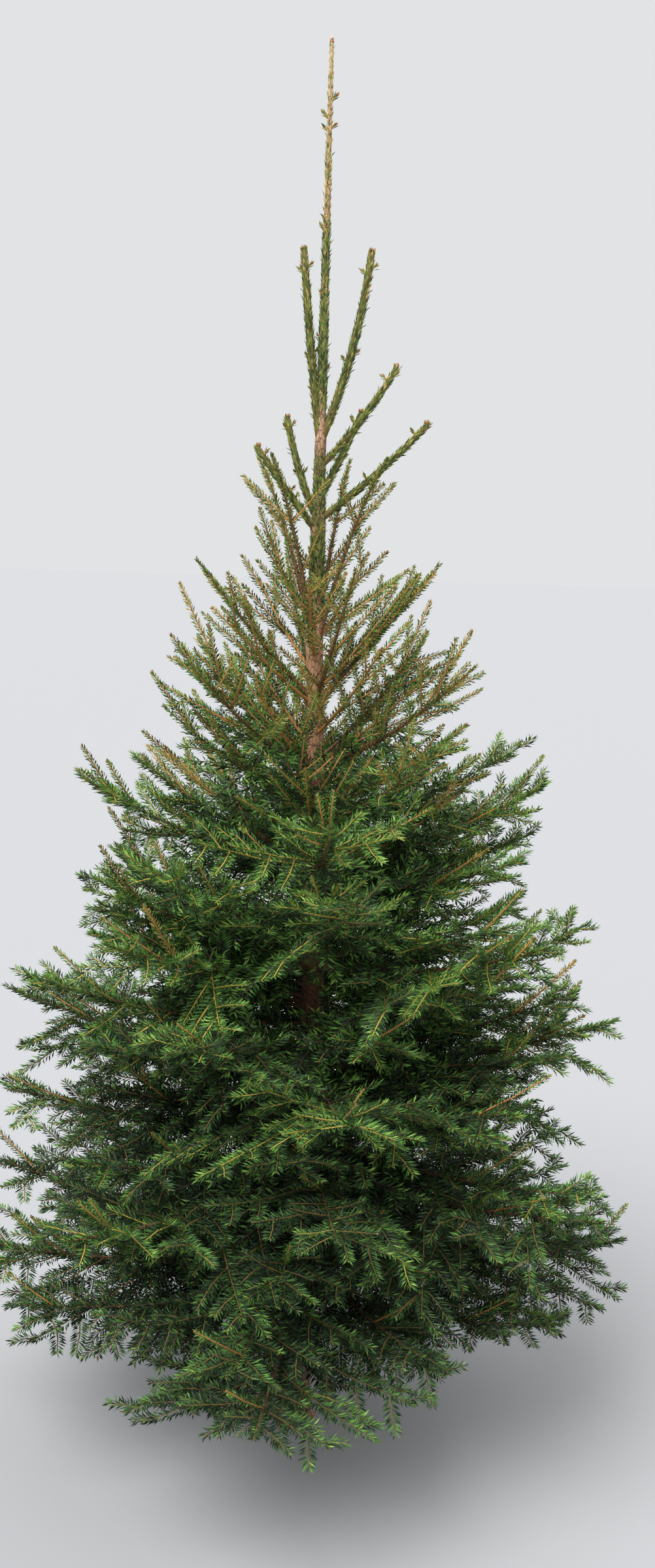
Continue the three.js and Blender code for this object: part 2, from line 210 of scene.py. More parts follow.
# Needles on the trunk under and above its bare stretch: two heights, how densely they stand, and their tone
LEADER_NEEDLES = [
    (1.50, 1.765, 5.0, 0.30),
    (1.835, 2.03, 3.0, 0.36),
    (2.03, 2.15, 2.0, 0.5),
    (2.15, 2.29, 0.8, 0.95),
    (2.29, 2.41, 0.55, 1.4),
]


@dataclass
class NeedleKind:
    """How needles stand on a shoot"""

    per_metre: float
    length: float
    width: float
    spread: float  # on each side of the shoot's upper line
    lean: tuple  # from the shoot, at its foot and at its tip
    rise: float
    roll: tuple  # the middle and the spread of a needle's turn about itself, where 0 lies flat on the stem


NEEDLE_KINDS = {
    "flat": NeedleKind(960, 0.0185, 0.0028, 118, (62, 42), 0.08, (90, 45)),
    "inner": NeedleKind(430, 0.0210, 0.0042, 130, (66, 48), 0.06, (90, 60)),
    "brush": NeedleKind(940, 0.0160, 0.0025, 180, (54, 36), 0.0, (90, 60)),
    "rod": NeedleKind(1020, 0.0108, 0.0026, 180, (50, 36), 0.0, (90, 60)),
    "pressed": NeedleKind(760, 0.0130, 0.0034, 180, (15, 13), 0.0, (0, 35)),
}
NEEDLE_TURN = 137.508  # from one needle to the next round a shoot
TURN_SPREAD = 14
PLACE_SPREAD = 0.004
LEAN_SPREAD = 5
STRAY_SHARE = 0.06  # of the needles, which lean out by so many degrees more
STRAY_LEAN = 24
UPPER_LEAN = 0.72  # of the kind's lean, on a flat shoot's upper line
LAST_LEAN = 0.6  # and at a shoot's very tip
END_LENGTH = 0.72  # of the kind's length, at a shoot's foot and tip
NEEDLE_LENGTHS = (0.85, 1.12)
NEEDLE_WIDTHS = (0.85, 1.1)
NEEDLE_SUNK = 0.0003
NEEDLE_FOLD = 0.3  # how deep a needle is folded, as a share of its width

# Needle colours, from deep shade to fresh tips, and then those of the stout upper shoots
GREENS = [
    ("needles_deep", (34, 48, 31)),
    ("needles_dark", (53, 78, 47)),
    ("needles_middle", (72, 108, 52)),
    ("needles_fresh", (95, 140, 60)),
    ("needles_tip", (134, 172, 80)),
]
OLIVES = [
    ("needles_olive_dark", (57, 84, 40)),
    ("needles_olive", (98, 123, 55)),
    ("needles_moss", (144, 156, 77)),
    ("needles_straw", (196, 176, 110)),
]

# By how many colours a needle is lighter: for a tone of 1, at a shoot's tip, on its upper side as painted
# light, by chance
GREEN_STEPS = 3.4
OLIVE_STEPS = 1.7
FRESH_FROM = 0.72
FRESH_STEPS = 0.9
PAINTED_TOP_LIGHT_STEPS = 0.8
GREEN_CHANCE = (-1.6, 1.4)
OLIVE_CHANCE = (-1.3, 1.7)

# Stems and buds
TWIG_BARKS = {
    "twigs_young": (168, 148, 62),
    "twigs_rod": (186, 130, 68),
    "twigs_brown": (108, 90, 44),
    "twigs_old": (62, 46, 34),
    "twigs_dead": (142, 118, 94),
}
YOUNG_AND_LIT_TONE = 0.38  # a stem under a lighter tone has young bark; under a darker one it has brown bark, which is partly painted shade
BUD_COLOUR = (158, 110, 68)
STOUT_STEM = 0.003  # a stem as thick as this is made with more steps and sides
STEM_STEPS = (2, 3)
STOUT_STEPS = (8, 9)
STEM_POINT = 0.002  # from a stem's last ring to its tip
TWIG_RADII = (0.0013, 0.0010)  # at the foot, of a very short twig, and at the tip
TWIG_THICKENING = 0.008  # of the foot, for each metre of length
SPRAY_RADII = (0.0008, 0.0008)  # the same for the stem of a spray
SPRAY_THICKENING = 0.0045
INNER_RADII = (0.0012, 0.0006)
INNER_LENGTHS = (0.080, 0.025)  # the middle one, and how much one may differ
DEAD_RADII = (0.0014, 0.0005)
DEAD_LENGTHS = (0.09, 0.05)
TWIG_BUD = 0.0024
SPRAY_BUD = 0.003
ROD_BUD = 0.0042
RISING_BUD = 0.0045
TOP_SIDE_BUD = 0.0052
TOP_TIP_BUD = 0.0050
LEADER_TIP_BUD = 0.0042

# Bark, and its colours from the ground up
TRUNK_SIDES = 40
TRUNK_STEP = 0.0055
COLLAR_HEIGHT = 0.011
COLLAR_RADIUS = 0.0016
COARSE_TO = 1.6  # bark gets finer up to here
PLATES = (0.0055, 0.0080)  # the size of fine and of coarse plates of bark
PLATE_RELIEF = (0.0004, 0.0015)
LUMPS = (28, 0.0011)  # per metre, and their height
BOUGH_SIDES = 7
BOUGH_STEP = 0.011
BOUGH_COLLAR = (0.35, 0.03)  # how much thicker a bough is at the trunk, and over what length
BOUGH_LUMPS = (130, 0.16)  # per metre, and their height as a share of the radius
TRUNK_COLOURS = [
    (0.0, (92, 72, 58)),
    (0.9, (128, 90, 70)),
    (1.05, (150, 108, 84)),
    (1.25, (174, 128, 96)),
    (1.52, (192, 148, 112)),
    (1.60, (108, 98, 56)),
    (1.76, (108, 98, 56)),
    (1.8, (190, 152, 122)),
    (1.83, (186, 150, 118)),
    (1.86, (116, 106, 60)),
    (2.1, (150, 128, 76)),
    (2.2, (200, 164, 118)),
    (2.42, (214, 186, 156)),
]
BOUGH_COLOURS = [(0.2, (92, 66, 48)), (1.5, (132, 92, 58))]

# The photograph's viewpoint, and the studio
CAMERA_PLACE = (0.029, -2.62, 1.70)
CAMERA_TILT = 10.6  # down from level
CAMERA_ROLL = 1.755
CAMERA_LENS = 35.25
FLOOR_SIZE = 60.0
FLOOR_COLOUR = (166, 167, 169)
WORLD_COLOUR = (238, 239, 241)
WORLD_STRENGTH = 0.89
LIGHTS = {  # place, softness and energy
    "key_light": ((-1.5, -2.1, 3.9), 40, 3.4),
    "fill_light": ((2.4, 0.6, 3.0), 70, 0.8),
}


def linear(colour):
    """A colour of 0 to 255 as Blender's shaders take it"""
    shares = [value / 255 for value in colour]
    curve = [c / 12.92 if c <= 0.04045 else ((c + 0.055) / 1.055) ** 2.4 for c in shares]
    return (*curve, 1.0)


def chance(*keys):
    """The number from 0 to 1 that the solids' rule gives for the same keys"""
    value = SEED
    for key in keys:
        value = ((value ^ ((key + 0x9E3779B9) & 0xFFFFFFFF)) * 0x85EBCA6B) & 0xFFFFFFFF
        value ^= value >> 13
    return value / 2**32


def swing(*keys):
    return 2 * chance(*keys) - 1


def part_way(start, end, share):
    return start + (end - start) * share


def ramp(value, low, high):
    """0 at low and before it, 1 at high and past it"""
    return min(max((value - low) / (high - low), 0), 1)


def unit(vector):
    return vector / np.linalg.norm(vector)


def across_of(direction):
    """The level direction to the left of a direction"""
    return unit(np.cross(UP, direction))


def across_in_plane(direction, across):
    """The part of across that stands square to a direction"""
    return unit(across - direction * (direction @ across))


def leaning(along, out, degrees):
    """A direction that leans from along towards out, which is square to it"""
    angle = math.radians(degrees)
    return along * math.cos(angle) + out * math.sin(angle)


def heading(turn, rise):
    turn, rise = math.radians(turn), math.radians(rise)
    return np.array([math.cos(rise) * math.cos(turn), math.cos(rise) * math.sin(turn), math.sin(rise)])


def slope_of(degrees):
    return math.tan(math.radians(degrees))


def on_curve(start, middle, end, time):
    return (1 - time) ** 2 * start + 2 * time * (1 - time) * middle + time**2 * end


class Curve:
    """A line with one bend. Places on it are shares of its length."""

    def __init__(self, *corners):
        self.corners = np.array(corners)
        self.times = np.linspace(0, 1, 25)
        points = on_curve(*self.corners, self.times[:, None])
        steps = np.linalg.norm(np.diff(points, axis=0), axis=1)
        self.lengths = np.concatenate([[0], np.cumsum(steps)])
        self.length = self.lengths[-1]

    def time(self, share):
        return np.interp(share * self.length, self.lengths, self.times)

    def at(self, share):
        return on_curve(*self.corners, self.time(share))

    def tangent(self, share):
        start, middle, end = self.corners
        time = self.time(share)
        return unit((1 - time) * (middle - start) + time * (end - middle))


def straight_line(start, end):
    return Curve(start, (start + end) / 2, end)


def bent_curve(foot, direction, length, first_way, bend):
    """A curve that leaves its foot along first_way and then bends up by a share of its length"""
    end = foot + direction * length + UP * bend * length
    return Curve(foot, foot + unit(first_way) * length * 0.5, end)


def rising_curve(foot, turn, rises, length):
    """A curve whose two halves have a rise each"""
    middle = foot + heading(turn, rises[0]) * length / 2
    return Curve(foot, middle, middle + heading(turn, rises[1]) * length / 2)


@dataclass
class Shoot:
    """One shoot with its needles. Where its bark isn't given, it goes with them."""

    curve: Curve
    radius: float
    tip_radius: float
    needles: str
    tone: float
    clothed_from: float = 0.0
    density: float = 1.0
    bud: float = 0.0
    olive: bool = False
    bark: str = None

    def __post_init__(self):
        if self.bark is None:
            # brown bark under a darker tone is partly the older stems' colour and partly painted shade
            young = "twigs_young" if self.tone > YOUNG_AND_LIT_TONE else "twigs_brown"
            self.bark = {"rod": "twigs_rod", "inner": "twigs_old"}.get(self.needles, young)


# The trunk's shape


def bow_at(height):
    """How far the trunk's middle is from a straight line, to the right and to the back"""
    share = np.sin(math.pi * np.minimum(height, BOW_HEIGHT) / BOW_HEIGHT)
    return BOW_X * share, BOW_Y * share


def trunk_centre(height):
    return np.array([*bow_at(height), height])


def trunk_radius(height):
    left = max(0.0, 1 - height / TREE_HEIGHT)
    slim = ramp(height, *LEADER_HEIGHTS)
    slim = slim * slim * (3 - 2 * slim)
    taper = (FOOT_RADIUS - TIP_RADIUS) * left**TRUNK_TAPER
    return TIP_RADIUS + taper * part_way(1, LEADER_SLIMNESS, slim)


# Boughs and the space that each mass keeps to


def bough_turn(whorl, index):
    jitter = MOST_JITTER * swing(whorl, index % BOUGHS_IN_WHORL, 1)
    return WHORLS[whorl].turn + 360 / BOUGHS_IN_WHORL * index + jitter


def height_at(ring, distance):
    """How high the boughs of a ring run at a distance from the trunk"""
    start, end = map(slope_of, ring.rise)
    return ring.foot + start * distance + (end - start) * distance**2 / (2 * ring.reach)


def limb_line(ring, turn, near, far):
    """The line of a bough between two distances from the trunk"""
    outward = heading(turn, 0)
    slope = part_way(*map(slope_of, ring.rise), near / ring.reach)
    low = height_at(ring, near)
    half = (far - near) / 2
    centre = trunk_centre(ring.foot) * (1, 1, 0)
    return Curve(
        centre + outward * near + UP * low,
        centre + outward * (near + half) + UP * (low + half * slope),
        centre + outward * far + UP * height_at(ring, far),
    )


def bough_line(whorl, index, near, far):
    return limb_line(WHORLS[whorl], bough_turn(whorl, index), near, far)


def floor_at(distance):
    """No foliage is under this height"""
    return CROWN_FLOOR[0] + CROWN_FLOOR[1] * distance


def mass_space(whorl, index):
    """A test of whether points lie in one mass's share of the crown"""
    middle = bough_turn(whorl, index)
    before = (bough_turn(whorl, index - 1) - middle) / 2
    after = (bough_turn(whorl, index + 1) - middle) / 2

    def inside(points):
        bow_x, bow_y = bow_at(points[:, 2])
        x, y = points[:, 0] - bow_x, points[:, 1] - bow_y
        distance = np.hypot(x, y)
        turn = np.degrees(np.arctan2(y, x)) - middle
        turn -= 360 * np.round(turn / 360)
        room = np.degrees(MASS_GAP / np.maximum(distance, 0.001))
        bottom = floor_at(distance)
        top = SHOULDER[0] + SHOULDER[1] * distance
        if whorl > 0:
            bottom = (height_at(WHORLS[whorl], distance) + height_at(WHORLS[whorl - 1], distance)) / 2
        if whorl < len(WHORLS) - 1:
            top = (height_at(WHORLS[whorl], distance) + height_at(WHORLS[whorl + 1], distance)) / 2
        return np.all(
            (distance < WHORLS[whorl].reach * MASS_REACH)
            & (turn > before + room)
            & (turn < after - room)
            & (points[:, 2] < top - MASS_GAP)
            & (points[:, 2] > bottom + MASS_GAP)
        )

    return inside


# Sprays, as the solids' blades


@dataclass
class Spray:
    """A spray's foot, direction, length, half width, and the direction of its left side in its own plane"""

    foot: np.ndarray
    direction: np.ndarray
    length: float
    half_width: float
    across: np.ndarray

    def at(self, share):
        return self.foot + self.direction * self.length * share


def blade_corners(length, half_width):
    pairs = 1 if length < TWO_TEETH_FROM else 2
    start = STALK * length
    step = (length - start) / (pairs + 1)
    thickness = RIDGE_LEAST + RIDGE_GROWTH * length
    corners = [(0, 0, ROOT), (0, ROOT, 0), (length, 0, 0)]
    for pair in range(pairs + 1):
        along = start + pair * step
        width = half_width * (1 - BLADE_TAPER * along / length)
        corners.append((along, ROOT if pair == 0 else NOTCH * width, 0))
        if pair < pairs:
            corners.append((along, 0, thickness * (1 - along / length)))
            corners.append((along + TOOTH_SWEEP * width, width, 0))
    quarter = np.array(corners)
    return np.concatenate([quarter * (1, side, face) for side in (1, -1) for face in (1, -1)])


def placed_spray(foot, direction, length, width, roll):
    """A spray whose half width is a share of its length, within limits"""
    half_width = min(max(width * length, SLIMMEST_SPRAY), WIDEST_SPRAY)
    side = across_of(direction)
    return Spray(foot, direction, length, half_width, leaning(side, np.cross(direction, side), roll))


def fits(spray, inside):
    corners = blade_corners(spray.length, spray.half_width)
    normal = np.cross(spray.direction, spray.across)
    return inside(spray.foot + corners @ np.array([spray.direction, spray.across, normal]))


def fitted_spray(foot, direction, length, lift, roll, width, inside):
    """A side spray that keeps to its space: it is laid flatter, then made shorter, and at last skipped"""
    for size in SHORTER:
        if length * size < LEAST_SPRAY:
            break
        for ease in FLATTER:
            way = unit(direction + UP * lift * ease)
            spray = placed_spray(foot, way, length * size, width, roll * max(ease, LEAST_ROLL))
            if fits(spray, inside):
                return spray
    return None


def side_sprays(stem, whorl, index):
    """A bough's side sprays: a pair at the end of each yearly length, shorter towards the tip"""
    ring = WHORLS[whorl]
    inside = mass_space(whorl, index)
    tilt = 1 if chance(whorl, index, 5) < 0.5 else -1
    for year in range(int(ring.bare * ring.years) + 1, ring.years):
        share = ((year - YEAR_START) / ring.years - ring.bare) / (1 - ring.bare)
        along = stem.tangent(share)
        for side in (-1, 1):
            key = (whorl, index, year, side)
            angle = SIDE_ANGLE + 6 * swing(*key, 1)
            length = SIDE_SHARE * stem.length * (1 - SIDE_TAPER * share) * (0.92 + 0.12 * swing(*key, 2))
            lift = ring.lift + LIFT_SPREAD * swing(*key, 3)
            roll = side * tilt * (ROLL_MEAN + ROLL_SPREAD * swing(*key, 4))
            direction = leaning(along, across_of(along) * side, angle)
            spray = fitted_spray(stem.at(share), direction, length, lift, roll, ring.spray, inside)
            if spray:
                yield spray


def tip_spray(whorl, index):
    ring = WHORLS[whorl]
    stem_reach = ring.reach * (1 - TIP_SPRAY_YEARS / ring.years)
    stem = bough_line(whorl, index, ring.bare * ring.reach, stem_reach)
    direction = stem.tangent(1)
    foot = stem.at(1) - direction * TIP_SPRAY_SUNK
    length = TIP_SPRAY_YEARS / ring.years * ring.reach + TIP_SPRAY_SUNK
    return placed_spray(foot, direction, length, TIP_SPRAY_WIDTH, TIP_SPRAY_ROLL * swing(whorl, index, 3))


# Twigs


draws = np.random.default_rng(SEED)
groups = []  # the name and the shoots of each part of the crown
limbs = []  # the line of each bough, its radius, and its tip's share of that


def begin(group):
    groups.append((group, []))


def add(*measures, **more):
    """Add a shoot to the present group"""
    groups[-1][1].append(Shoot(*measures, **more))


def around(middle, spread):
    return middle + spread * draws.uniform(-1, 1)


def tone_around(middle, spread):
    return min(max(around(middle, spread), 0), 1)


def turns(point, heights):
    """Whether a shoot is of the upper kind: never under the first height and always over the second"""
    return draws.uniform() < ramp(point[2], *heights)


def crown_radius(height):
    """How far the crown reaches at a height, through the tips of the whorls"""
    tips = [height_at(ring, ring.reach) for ring in WHORLS]
    return np.interp(height, tips, [ring.reach for ring in WHORLS])


def depth_of(point):
    """0 at the trunk and 1 at the crown's outside"""
    return min(math.hypot(point[0], point[1]) / crown_radius(point[2]), 1)


def needle_kind(place, direction):
    if turns(place, ROD_HEIGHTS):
        return "rod"
    if depth_of(place) < INNER_DEPTH and place[2] < INNER_TOP:
        return "inner"
    return "brush" if direction[2] > UPRIGHT else "flat"


def tone_at(point):
    """Deep green at the trunk's side and in the lower crown, and fresh green outside: painted shade as well
    as the older needles' own darker green, with painted light in the upper crown
    """
    shaded = ramp(point[2], *SHADED)
    sunlit = ramp(point[2], *SUNLIT)
    inside, outside = np.array(TONES) + np.array(SHADED_TONES) * shaded + np.array(SUNLIT_TONES) * sunlit
    freshness_and_light = depth_of(point) ** (TONE_BEND + SHADED_BEND * shaded)
    return tone_around(part_way(inside, outside, freshness_and_light), TONE_SPREAD)


def is_outside(point):
    """Whether a place is too near to the ground or too far out"""
    x, y, z = point
    return z < floor_at(math.hypot(x, y)) or max(abs(x), abs(y)) > FARTHEST_TIP


def grow_twig(foot, direction, across, length, tone, order=1):
    """A twig, and the side twigs of a long one"""
    outward = direction + 0.25 * across * np.sign(direction @ across)
    tone = tone_around(tone, TWIG_TONE_SPREAD)
    bend = around(0.02, 0.05)
    curve = bent_curve(foot, direction, length, outward, bend)
    if is_outside(curve.corners[-1]):
        return
    middle = foot + direction * length / 2
    kind = needle_kind(middle, direction)
    radii = TWIG_RADII[0] + TWIG_THICKENING * length, TWIG_RADII[1]
    if kind == "rod":
        if length < LEAST_ROD:
            return
        radii = SLIM_ROD_RADII
    olive = turns(middle, OLIVE_HEIGHTS)
    bud = TWIG_BUD if order == 1 else 0
    add(curve, *radii, kind, tone, bud=bud, olive=olive)
    if order > 2 or length < BRANCHED_TWIG or kind == "rod":
        return
    count = int(length / SIDE_TWIG_SPACING)
    for number in range(count):
        share = around((number + 0.6) / count, 0.08)
        side = 1 if number % 2 else -1
        reach = length * (1 - share) * around(0.72, 0.15) + 0.008
        if reach >= LEAST_TWIG:
            along = curve.tangent(share)
            way = leaning(along, across_in_plane(along, across) * side, around(*TWIG_ANGLES))
            way = unit(way + UP * around(0, 0.18))
            grow_twig(curve.at(share), way, across, reach, tone, order + 1)


def hang_of(whorl):
    return part_way(*HANG, whorl / (len(WHORLS) - 1))


def reach_at(length, share):
    """The most that a twig reaches from a place on a stem, less and less towards its tip"""
    return (1 - share) * length * 0.8 + 0.03


def grow_spray(spray, tone, hang):
    """A spray's stem and the twigs on both sides of it, in its own plane and within its own width"""
    dip = SPRAY_DIP * (1 - abs(spray.direction[2]))
    middle = spray.at(0.5) - UP * dip * spray.length
    stem = Curve(spray.foot, middle, spray.at(1))
    kind = needle_kind(middle, spray.direction)
    radii = SPRAY_RADII[0] + SPRAY_THICKENING * spray.length, SPRAY_RADII[1]
    spacing = TWIG_SPACING
    if kind == "rod":
        radii = ROD_RADII
        spacing = ROD_SPACING
    olive = turns(middle, OLIVE_HEIGHTS)
    add(stem, *radii, kind, tone, 0.06, bud=SPRAY_BUD, olive=olive)
    slim = spray.half_width < 0.16 * spray.length and spray.length < 0.12
    if slim or spray.foot[2] > BARE_SPRAYS_FROM:
        return
    count = int(spray.length * (1 - STALK) / spacing)
    for number in range(count):
        share = part_way(STALK * 0.7, 1, around((number + 0.4) / count, 0.3 / count))
        side = 1 if number % 2 else -1
        angle = around(*TWIG_ANGLES)
        room = spray.half_width * (1 - BLADE_TAPER * share) / math.sin(math.radians(angle)) + 0.012
        length = min(room, reach_at(spray.length, share)) * around(0.92, 0.18)
        if length >= LEAST_TWIG:
            along = stem.tangent(share)
            way = leaning(along, across_in_plane(along, spray.across) * side, angle)
            way = unit(way + UP * around(-hang, 0.26))
            way[2] = max(way[2], STEEPEST)
            grow_twig(stem.at(share), unit(way), spray.across, length, tone)


def way_round(along, turn, angle):
    """A direction that leans from a limb by an angle, to any side of it"""
    level = across_of(along)
    return unit(leaning(along, leaning(level, np.cross(along, level), turn), angle))


def grow_along(line, tone, first, longest):
    """Short twigs on a bough between its side sprays"""
    count = int(line.length * (1 - first) / TWIG_SPACING)
    for number in range(count):
        share = part_way(first, 1, (number + draws.uniform(0.2, 0.8)) / count)
        angle = around(50, 10)
        turn = around(0, 40)
        length = min(longest, reach_at(line.length, share)) * around(0.85, 0.2)
        if length >= LEAST_TWIG:
            along = line.tangent(share)
            way = way_round(along, turn if number % 2 else 180 - turn, angle)
            grow_twig(line.at(share), way, across_of(along), length, tone)


def grow_inner_twigs(line, first, last):
    """Short leafy twigs all round the shaded inner part of a limb"""
    count = int(line.length * (last - first) / INNER_SPACING)
    # painted shade: inner twigs on limbs low on the trunk get a much darker tone
    tone = INNER_TONES[1] if line.corners[0][2] > INNER_TONE_HEIGHT else INNER_TONES[0]
    for number in range(count):
        share = part_way(first, last, (number + 0.5) / count)
        turn = TWIG_TURN * number + around(0, 25)
        way = way_round(line.tangent(share), turn, around(58, 10))
        length = around(*INNER_LENGTHS)
        bend = around(-0.04, 0.06)
        curve = bent_curve(line.at(share), way, length, way, bend)
        twig_tone = tone_around(tone, 0.14)
        if not is_outside(curve.corners[-1]) and curve.corners[-1][2] < INNER_TOP:
            add(curve, *INNER_RADII, "inner", twig_tone, 0.1)


def grow_rod(foot, direction, length):
    middle = foot + direction * length / 2
    tip = middle + unit(direction + UP * around(0.12, 0.12)) * length / 2
    tone = tone_around(0.66, 0.3)
    olive = turns(foot, OLIVE_ROD_HEIGHTS)
    inside = math.hypot(tip[0], tip[1]) < crown_radius(tip[2]) + 0.03
    if inside and not is_outside(tip):
        add(Curve(foot, middle, tip), *ROD_RADII, "rod", tone, bud=ROD_BUD, olive=olive)


def grow_rods_on(line, count):
    """Rods that rise from the outer part of a limb"""
    for _ in range(count):
        share = draws.uniform(0.5, 0.9)
        along = line.tangent(share)
        way = along + across_of(along) * around(0, 0.6) + UP * draws.uniform(0.25, 1.1)
        grow_rod(line.at(share), unit(way), around(*ROD_LENGTHS))


def grow_dead_twigs(line, count):
    """Bare dead twigs on the inner part of a limb"""
    for _ in range(count):
        share = draws.uniform(0.15, 0.6)
        along = line.tangent(share)
        side = across_of(along) * around(0, 1)
        way = unit(along * 0.5 + side + UP * around(-0.1, 0.5))
        curve = bent_curve(line.at(share), way, around(*DEAD_LENGTHS), way, around(0, 0.12))
        add(curve, *DEAD_RADII, "", 0, bark="twigs_dead")


def clothe_limb(line, clothed_from):
    """Needles on a limb itself, on its younger part"""
    place = line.at(0.7)
    kind = needle_kind(place, line.tangent(0.7))
    tone = tone_at(place)
    add(line, 0.001, 0.001, kind, tone, clothed_from, olive=turns(place, OLIVE_HEIGHTS), bark="")


def grow_bough(whorl, index):
    ring = WHORLS[whorl]
    hang = hang_of(whorl)
    whole = bough_line(whorl, index, 0, ring.reach)
    limbs.append((whole, ring.radius, 0.16 if ring.bare else 0.2))
    line = bough_line(whorl, index, ring.bare * ring.reach, ring.reach)
    for spray in side_sprays(line, whorl, index):
        grow_spray(spray, tone_at(spray.at(0.6)), hang)
    grow_spray(tip_spray(whorl, index), tone_at(line.at(1)), hang)
    clothe_limb(line, 0.3 if ring.bare else 0.12)
    long = ring.reach > 0.25
    if long:
        longest = 0.05 + 0.055 * ring.reach / WHORLS[0].reach
        grow_along(line, tone_at(line.at(0.6)), 0.05, longest)
    grow_inner_twigs(whole, 0.06, 0.5)
    grow_rods_on(line, 2 if long else 0)
    grow_dead_twigs(whole, 1 if ring.bare else 0)


def between(whorl, share):
    """The measures of a thin bough between a whorl and the next one"""
    below, above = WHORLS[whorl], WHORLS[whorl + 1]
    reach_share = part_way(*SMALL_REACH, whorl / (len(WHORLS) - 2))
    foot = part_way(below.foot, above.foot, share)
    reach = reach_share * (below.reach + above.reach) / 2
    rise = tuple((a + b) / 2 for a, b in zip(below.rise, above.rise))
    years = max(below.years - 1, 3)
    measures = years, SMALL_BARE, SMALL_RADIUS, below.lift, below.spray
    return Whorl(foot, below.turn, reach, rise, *measures)


def grow_small_bough(ring, turn, key, hang):
    """A thin bough that isn't in a whorl"""
    longer = min(0.22 * swing(*key, 22), 0.12)
    steeper = 6 * swing(*key, 23)
    reach = min(ring.reach * (1 + longer), FARTHEST_LIMB)
    rise = ring.rise[0] + steeper, ring.rise[1] + steeper
    line = limb_line(replace(ring, reach=reach, rise=rise), turn, 0, reach)
    limbs.append((line, ring.radius, 0.2))
    for year in range(1, ring.years):
        share = (year + 0.3) / ring.years
        along = line.tangent(share)
        for side in (-1, 1):
            way = leaning(along, across_of(along) * side, around(50, 6))
            way = unit(way + UP * around(ring.lift, 0.3))
            length = SMALL_SPRAY_SHARE * reach * (1 - 0.8 * share) * around(0.9, 0.14)
            spray = placed_spray(line.at(share), way, length, ring.spray, around(0, 35))
            if length >= LEAST_SPRAY and not is_outside(spray.at(1)):
                grow_spray(spray, tone_at(spray.at(0.6)), hang)
    clothe_limb(line, 0.3)
    grow_along(line, tone_at(line.at(0.6)), 0.2, 0.085)
    grow_inner_twigs(line, 0.08, 0.5)
    grow_rods_on(line, 1)
    if chance(*key, 25) < 0.6:
        grow_dead_twigs(line, 1)


def grow_small_boughs():
    """The thin boughs between the whorls and under them, spread evenly round the trunk"""
    for whorl, count in enumerate(SMALL_BOUGHS):
        begin(f"between_{whorl + 1}_{whorl + 2}")
        for index in range(count):
            key = (whorl, index)
            ring = between(whorl, 0.5 + 0.42 * swing(*key, 21))
            turn = ring.turn + 360 / count * (index + 0.5) + 16 * swing(*key, 24)
            grow_small_bough(ring, turn, key, hang_of(whorl))
    begin("low_ring")
    for index in range(LOW_BOUGHS):
        key = (20, index)
        ring = replace(LOW_RING, foot=LOW_RING.foot + 0.06 * swing(*key, 21))
        turn = ring.turn + 360 / LOW_BOUGHS * index + 10 * swing(*key, 24)
        grow_small_bough(ring, turn, key, HANG[0])


def grow_rising_limbs():
    """Slim limbs that rise round the top of the crown and carry rods"""
    for number in range(RISING_LIMBS):
        share = (number + 0.5) / RISING_LIMBS
        foot = trunk_centre(part_way(*RISING_FEET, share))
        length = part_way(*RISING_LENGTHS, share) * (1 + 0.16 * swing(number, 31))
        rise = part_way(*RISING_ANGLES, share) + 9 * swing(number, 32)
        turn = TWIG_TURN * number + 20 * swing(number, 33)
        line = rising_curve(foot, turn, (rise - 8, rise + 8), length)
        tone = tone_around(0.5, 0.2)
        olive = draws.uniform() < OLIVE_LIMBS
        add(line, *RISING_RADII, "rod", tone, 0.08, bud=RISING_BUD, olive=olive)
        grow_rods_beside(line, 3 if length > 0.23 else 2)


def grow_rods_beside(line, pairs):
    for pair in range(pairs):
        for side in (-1, 1):
            share = (pair + 0.9 + 0.25 * side) / (pairs + 0.5)
            along = line.tangent(share)
            way = leaning(along, across_of(along) * side, around(36, 9))
            length = 0.62 * line.length * (1 - share) + around(0.055, 0.02)
            grow_rod(line.at(share), unit(way + UP * around(0.18, 0.22)), length)


def grow_trunk_rods():
    for number in range(TRUNK_RODS):
        foot = trunk_centre(part_way(*TRUNK_ROD_FEET, (number + 0.5) / TRUNK_RODS))
        way = heading(TWIG_TURN * number + 40, 46 + 14 * swing(number, 35))
        grow_rod(foot, way, 0.115 + 0.035 * swing(number, 34))


def grow_top_shoot(number, height, turn, rises, length):
    stem = rising_curve(trunk_centre(height), turn, rises, length)
    slimness = 1 if length > 0.3 else 0.85
    radius = TOP_SHOOT_RADIUS * slimness
    add(stem, radius, 0.85 * radius, "pressed", 0.42, 0.08, 1.7, olive=True, bark="twigs_brown")
    for bud, place in enumerate((0.94, 0.91, 0.50, 0.47)):
        share = place - 0.03 * chance(number, bud, 41)
        side = 180 * (bud % 2) + 35 * swing(number, bud, 42)
        grow_side_bud(stem.at(share), radius * 0.9, side, TOP_SIDE_BUD)
    grow_tip_buds(stem.at(0.99), 0.8 * radius, TOP_TIP_BUD)


def grow_side_bud(centre, stem_radius, turn, size):
    """A bud on the side of a stem, with a few needles round it"""
    foot = centre + heading(turn, 0) * stem_radius * 0.6
    line = straight_line(foot, foot + heading(turn, 44) * 1.4 * size)
    add(line, 0.0024, 0.0020, "pressed", 0.6, density=0.6, bud=size, olive=True)


def grow_tip_buds(centre, spread, size):
    """A close cluster of buds that ends a stout shoot"""
    for turn in range(0, 360, 72):
        foot = centre + heading(turn, 0) * spread * 0.4
        line = straight_line(foot, foot + heading(turn, 80) * 0.003)
        add(line, 0.0016, 0.0014, "", 0, bud=size, bark="twigs_young")


